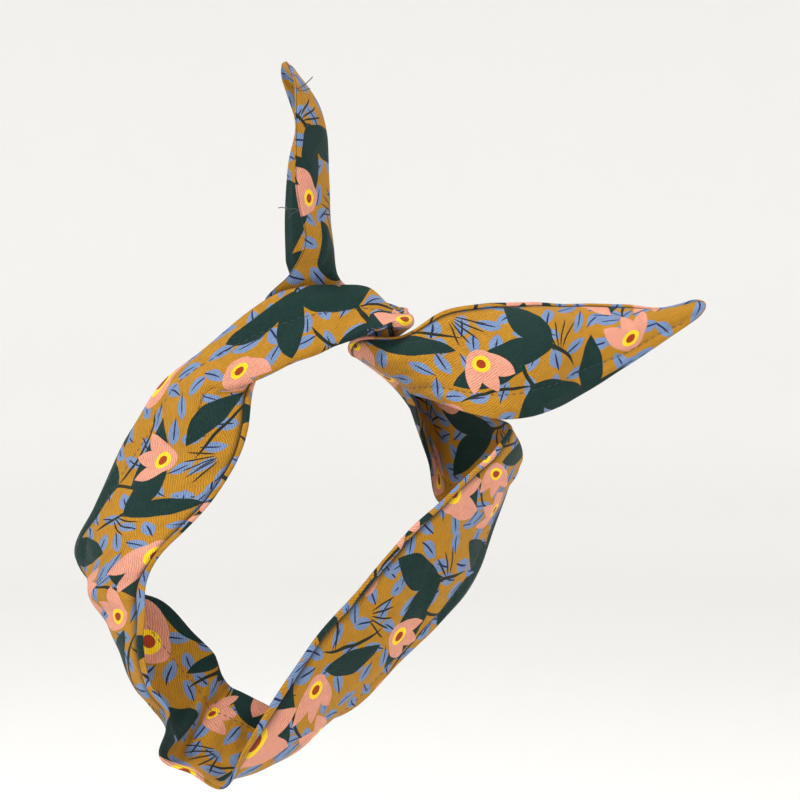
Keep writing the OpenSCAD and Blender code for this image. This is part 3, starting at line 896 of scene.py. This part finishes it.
# The CAD stretches that each cloth piece stands in for
CAD_STRETCHES = {
    "upper_tip_cloth": ["upper_tip"],
    "upper_ear_cloth": ["upper_ear"],
    "loop_cloth": ["twist_back", "twist_front", "left_arm", "lower_curve", "right_arm", "twist_return"],
    "side_ear_cloth": ["side_ear"],
    "side_tip_cloth": ["side_tip"],
}
ALLOWANCES = {"upper_tip_cloth": "upper_tip_allowance", "upper_ear_cloth": "upper_ear_allowance",
              "loop_cloth": "loop_allowance", "side_ear_cloth": "side_ear_allowance",
              "side_tip_cloth": "side_tip_allowance"}
# How far the lining's print is moved against the face's, along and across (m)
LINING_SHIFT = (0.031, 0.017)


def print_groups(scene):
    """The shared node groups, made once."""
    found = bpy.data.node_groups.get("Botanical print")
    if found is None:
        return {"print": print_group(scene.headband_colours), "twill": twill_group()}
    return {"print": found, "twill": bpy.data.node_groups["Twill weave"]}


def surface_points(s, rows):
    """Points, count across and painted seam shade of one layer from its place across, height and seam shade
    grids.
    """
    u, h, painted_shade = rows
    columns = u.shape[1]
    points = lie(np.repeat(s, columns), u.ravel(), h.ravel())
    return points, columns, painted_shade.ravel()


def finish_cloth(piece, span, layer):
    """Fixes one layer to its bodies and hides the CAD stretches that it stands in for."""
    name, start, end, bodies, held = span
    hold(piece, bodies)
    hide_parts(*[f"{stretch}_{layer}" for stretch in CAD_STRETCHES[name]])


class HEADBAND_OT_cloth(bpy.types.Operator):
    """Builds the face and the lining of the band, tip to tip"""

    bl_idname = "headband.cloth"
    bl_label = "Build the cloth"

    def execute(self, context):
        scene = context.scene
        cloth, sewing = scene.headband_cloth, scene.headband_sewing
        groups = print_groups(scene)
        materials = {
            "face": cloth_material("Printed twill, face", scene.headband_colours, groups, False),
            "lining": cloth_material("Printed twill, lining", scene.headband_colours, groups, True),
        }
        for span in SPANS:
            name, start, end, _, _ = span
            s = rows_between(start, end, cloth.pitch)
            for layer, maker, outward in (("face", face_rows, True), ("lining", lining_rows, False)):
                points, columns, painted_shade = surface_points(s, maker(s, Look(cloth, sewing), cloth.columns))
                shift = (0.0, 0.0) if layer == "face" else LINING_SHIFT
                uv = cloth_uv(s, points, columns, shift)
                piece = grid_mesh(f"{name}_{layer}", points, len(s), outward, uv, painted_shade)
                piece.data.materials.append(materials[layer])
                finish_cloth(piece, span, layer)
                if layer == "lining":
                    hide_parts(ALLOWANCES[name])
        return {"FINISHED"}


class Look:
    """The settings that the surface functions read."""

    def __init__(self, cloth, sewing):
        self.puff = cloth.puff
        self.roll = cloth.roll
        self.stitch_at = sewing.stitch_at
        self.wire_at = sewing.wire_at


# ---------------------------------------------------------------- sewing and wire


# The channel stitching of each body: its CAD node, its cloth, and its first and last station
STITCHES = {
    "upper_tip_stitching": ("upper_tip_cloth", 0.7, 4.5),
    "upper_ear_stitching": ("upper_ear_cloth", 4.5, 8.0),
    "loop_stitching": ("loop_cloth", 8.0, 45.4),
    "side_ear_stitching": ("side_ear_cloth", 45.4, 48.6),
    "side_tip_stitching": ("side_tip_cloth", 48.6, LAST - 0.7),
}
# Points round a thread
RIM = 6


def thread_tube(paths, radii):
    """Vertices and faces of round-ended threads along paths of points. radii has a radius for each point."""
    points, faces = [], []
    for path, radius in zip(paths, radii):
        base = len(points)
        along = np.gradient(path, axis=0)
        along /= np.linalg.norm(along, axis=1)[:, None]
        spare = np.where(np.abs(along[:, 2:3]) < 0.9, [[0.0, 0.0, 1.0]], [[1.0, 0.0, 0.0]])
        side = np.cross(along, spare)
        side /= np.linalg.norm(side, axis=1)[:, None]
        up = np.cross(side, along)
        for centre, a, b, r in zip(path, side, up, radius):
            for k in range(RIM):
                turn = math.tau * k / RIM
                points.append(centre + r * (math.cos(turn) * a + math.sin(turn) * b))
        count = len(path)
        for i in range(count - 1):
            for k in range(RIM):
                p, q = base + i * RIM + k, base + i * RIM + (k + 1) % RIM
                faces.append((p, q, q + RIM, p + RIM))
        faces.append(tuple(base + k for k in reversed(range(RIM))))
        faces.append(tuple(base + (count - 1) * RIM + k for k in range(RIM)))
    return points, faces


def mesh_object(name, points, faces, material):
    """A smooth mesh object with one material."""
    mesh = bpy.data.meshes.new(name)
    mesh.from_pydata([tuple(p) for p in points], [], faces)
    mesh.polygons.foreach_set("use_smooth", np.ones(len(faces), bool))
    mesh.materials.append(material)
    mesh.update()
    obj = bpy.data.objects.new(name, mesh)
    bpy.context.scene.collection.objects.link(obj)
    return obj


# Along one stitch: share of its length, share of the full rise, share of the full thickness
STITCH_SHAPE = [(0.0, -1.0, 0.6), (0.12, 0.25, 0.9), (0.35, 0.75, 1.0), (0.65, 0.75, 1.0), (0.88, 0.25, 0.9),
                (1.0, -1.0, 0.6)]


def stitch_paths(start, end, look, sewing, u, side):
    """Paths and radii of the stitches of a span on one side of the band."""
    first, last = float(run_at(start)), float(run_at(end))
    count = int((last - first) / sewing.step)
    paths, radii = [], []
    half = sewing.thread / 2
    for i in range(count):
        begin = first + (i + 0.5) * sewing.step - sewing.stitch / 2
        share = np.array([k[0] for k in STITCH_SHAPE])
        s = station_at(begin + share * sewing.stitch)
        places = np.full(len(s), u)
        rise = np.array([k[1] for k in STITCH_SHAPE]) * half
        height = half_thickness(s, places, look) + rise
        paths.append(lie(s, places, side * height))
        radii.append(half * np.array([k[2] for k in STITCH_SHAPE]))
    return paths, radii


class HEADBAND_OT_topstitching(bpy.types.Operator):
    """Sews the wire channel: one line of stitches that shows on both sides"""

    bl_idname = "headband.topstitching"
    bl_label = "Build the channel stitching"

    def execute(self, context):
        scene = context.scene
        sewing = scene.headband_sewing
        look = Look(scene.headband_cloth, sewing)
        material = thread_material("Sewing thread", scene.headband_colours.thread)
        bodies = {name: held for name, _, _, held, _ in SPANS}
        for name, (cloth, start, end) in STITCHES.items():
            paths, radii = [], []
            for side in (1, -1):
                more_paths, more_radii = stitch_paths(start, end, look, sewing, sewing.stitch_at, side)
                paths += more_paths
                radii += more_radii
            points, faces = thread_tube(paths, radii)
            piece = mesh_object(name.replace("stitching", "topstitches"), points, faces, material)
            hold(piece, bodies[cloth])
            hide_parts(name)
        return {"FINISHED"}


class HEADBAND_OT_closing(bpy.types.Operator):
    """Closes the turning gap with slanting hand stitches over the plain edge"""

    bl_idname = "headband.closing"
    bl_label = "Build the closing stitches"

    def execute(self, context):
        scene = context.scene
        sewing = scene.headband_sewing
        look = Look(scene.headband_cloth, sewing)
        start = float(run_at(33.0))
        paths, radii = [], []
        for i in range(sewing.closing):
            begin = start + i * 2.2 * sewing.step
            share = np.linspace(0, 1, 5)
            s = station_at(begin + share * 0.4 * sewing.stitch)
            roll = rolled_share(s, look)
            u = roll * (1.15 - 1.1 * share)
            height = np.array([0.10, 0.95, 1.16, 1.16, 0.98]) * MM
            paths.append(lie(s, u, height))
            radii.append(np.full(5, sewing.thread * 0.45))
        points, faces = thread_tube(paths, radii)
        piece = mesh_object("closing_stitches", points, faces, bpy.data.materials["Sewing thread"])
        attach(piece, "loop")
        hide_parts("closing_stitching")
        return {"FINISHED"}


# Loose thread ends: the CAD node, its body, its station, and its bends from the plain edge (mm)
THREAD_TAILS = [
    ("upper_tip_thread_tail", "upper_tip", 0.9,
     [[(0, 0, 0), (1.6, -1.4, -0.2), (3.4, -2.2, 0.8), (5.2, -2.6, 2.4), (6.6, -2.5, 3.9)],
      [(0, 0, -0.4), (1.6, -1.6, -1.4), (3.6, -2.2, -1.4), (5.6, -2.4, -0.6)]]),
    ("upper_ear_thread_tail", "upper_ear", 4.1,
     [[(0, 0, 0), (-2.0, -1.2, 0.3), (-4.4, -1.7, 0.1), (-6.8, -1.8, 0.8), (-8.4, -1.6, 0.6)],
      [(0, 0, -0.5), (-1.6, -1.1, -0.8), (-3.2, -1.5, -1.8), (-4.2, -1.7, -3.2)]]),
]


def smooth_path(points, count):
    """A smooth path of count points through a few points."""
    points = np.array(points, float)
    t = np.linspace(0, len(points) - 1, count)
    i = np.clip(t.astype(int), 0, len(points) - 2)
    f = (t - i)[:, None]
    before, after = points[np.maximum(i - 1, 0)], points[np.minimum(i + 2, len(points) - 1)]
    a, b = points[i], points[i + 1]
    return 0.5 * (2 * a + (b - before) * f + (2 * before - 5 * a + 4 * b - after) * f**2
                  + (3 * a - before - 3 * b + after) * f**3)


class HEADBAND_OT_thread_tails(bpy.types.Operator):
    """Adds the loose thread ends at the plain edge of the upper ear"""

    bl_idname = "headband.thread_tails"
    bl_label = "Build the thread ends"

    def execute(self, context):
        sewing = context.scene.headband_sewing
        material = bpy.data.materials["Sewing thread"]
        for name, body, station, tails in THREAD_TAILS:
            root = plain_skin(np.array([station]), np.array([0.0]))[0]
            paths = [root + smooth_path(tail, 14) * MM for tail in tails]
            radii = [np.full(14, sewing.thread * 0.6) for _ in tails]
            points, faces = thread_tube(paths, radii)
            piece = mesh_object(name.replace("_tail", "_ends"), points, faces, material)
            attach(piece, body)
            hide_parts(name)
        return {"FINISHED"}


class HEADBAND_OT_wire(bpy.types.Operator):
    """Gives the wire and its sleeves their metal and plastic"""

    bl_idname = "headband.wire"
    bl_label = "Finish the wire"

    def execute(self, context):
        wire, sleeve = metal_material(), sleeve_material()
        found = 0
        for name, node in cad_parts.items():
            if name.endswith("_wire") or name.endswith("_sleeve"):
                node.data.materials.clear()
                node.data.materials.append(sleeve if name.endswith("_sleeve") else wire)
                found += 1
        if not found:
            raise RuntimeError("The packed model has no wire")
        return {"FINISHED"}


# ---------------------------------------------------------------- studio


CAMERA_PLACE = (0.0331, -0.540, 0.0497)
# The floor's depth under the frame's origin (m)
FLOOR_DROP = 0.33
# The studio's outline from its middle out: radius and height (m) above the floor
STUDIO_OUTLINE = [(0.0, 0.0), (0.6, 0.0), (1.4, 0.0), (2.0, 0.02), (2.4, 0.15), (2.65, 0.45), (2.75, 0.9),
                  (2.78, 1.6), (2.78, 2.6)]
# Soft lights: name, place (m), point aimed at, side (m), power (W)
LIGHTS = [
    ("Key", (-0.9, -1.1, 1.7), (0.0, 0.0, 0.05), 0.6, 40.0),
    ("Fill", (1.5, -1.1, 0.5), (0.02, 0.0, 0.03), 0.9, 11.0),
    ("Top", (0.3, 0.4, 1.9), (0.02, 0.1, 0.0), 1.4, 4.0),
]


def lathe(name, outline, sides, material):
    """A round open bowl about the Z axis."""
    points, faces = [], []
    for radius, height in outline:
        for k in range(sides):
            turn = math.tau * k / sides
            points.append((radius * math.cos(turn), radius * math.sin(turn), height - FLOOR_DROP))
    for i in range(len(outline) - 1):
        for k in range(sides):
            p, q = i * sides + k, i * sides + (k + 1) % sides
            faces.append((p, q, q + sides, p + sides))
    return mesh_object(name, points, faces, material)


class HEADBAND_OT_studio(bpy.types.Operator):
    """Builds the pale studio, its soft lights and the camera"""

    bl_idname = "headband.studio"
    bl_label = "Build the studio"

    def execute(self, context):
        scene = context.scene
        material = stage_material("Studio paper", scene.headband_colours.studio)
        bowl = lathe("studio", STUDIO_OUTLINE, 96, material)
        for name, place_at, aim, side, power in LIGHTS:
            data = bpy.data.lights.new(name, "AREA")
            data.shape = "DISK"
            data.size = side
            data.energy = power
            light = bpy.data.objects.new(name, data)
            light.location = place_at
            way = Vector(aim) - Vector(place_at)
            light.rotation_euler = way.to_track_quat("-Z", "Y").to_euler()
            scene.collection.objects.link(light)
        world = bpy.data.worlds.new("Studio air")
        world.use_nodes = True
        world.node_tree.nodes["Background"].inputs["Color"].default_value = (0.96, 0.98, 1.0, 1.0)
        world.node_tree.nodes["Background"].inputs["Strength"].default_value = 0.67
        scene.world = world
        lens = bpy.data.cameras.new("Camera")
        lens.sensor_width = 36.0
        lens.lens = 58.7
        lens.clip_end = 50.0
        camera = bpy.data.objects.new("Camera", lens)
        camera.location = CAMERA_PLACE
        camera.rotation_euler = (math.radians(90), 0.0, 0.0)
        scene.collection.objects.link(camera)
        scene.camera = camera
        scene.view_settings.view_transform = "Standard"
        return {"FINISHED"}


# ---------------------------------------------------------------- panel and registration


BUILDERS = [
    HEADBAND_OT_cloth,
    HEADBAND_OT_topstitching,
    HEADBAND_OT_closing,
    HEADBAND_OT_thread_tails,
    HEADBAND_OT_wire,
    HEADBAND_OT_studio,
]


class HEADBAND_PT_panel(bpy.types.Panel):
    """The headband's builders, in order"""

    bl_idname = "HEADBAND_PT_panel"
    bl_label = "Wired twist headband"
    bl_space_type = "VIEW_3D"
    bl_region_type = "UI"
    bl_category = "Headband"

    def draw(self, context):
        for group in ("headband_cloth", "headband_sewing", "headband_colours"):
            box = self.layout.box()
            settings = getattr(context.scene, group)
            for name in settings.__annotations__:
                box.prop(settings, name)
        for builder in BUILDERS:
            self.layout.operator(builder.bl_idname)


SETTINGS = {
    "headband_cloth": HEADBAND_PG_cloth,
    "headband_sewing": HEADBAND_PG_sewing,
    "headband_colours": HEADBAND_PG_colours,
}


def register():
    """Registers the settings, the builders and the panel."""
    for cls in (*SETTINGS.values(), *BUILDERS, HEADBAND_PT_panel):
        bpy.utils.register_class(cls)
    for name, cls in SETTINGS.items():
        setattr(bpy.types.Scene, name, bpy.props.PointerProperty(type=cls))


def unregister():
    """Removes them again."""
    for name in SETTINGS:
        delattr(bpy.types.Scene, name)
    for cls in (HEADBAND_PT_panel, *reversed(BUILDERS), *reversed(SETTINGS.values())):
        bpy.utils.unregister_class(cls)


def main():
    """Builds the headband and its studio."""
    register()
    bpy.ops.headband.cloth()
    bpy.ops.headband.topstitching()
    bpy.ops.headband.closing()
    bpy.ops.headband.thread_tails()
    bpy.ops.headband.wire()
    bpy.ops.headband.studio()


if __name__ == "__main__":
    main()
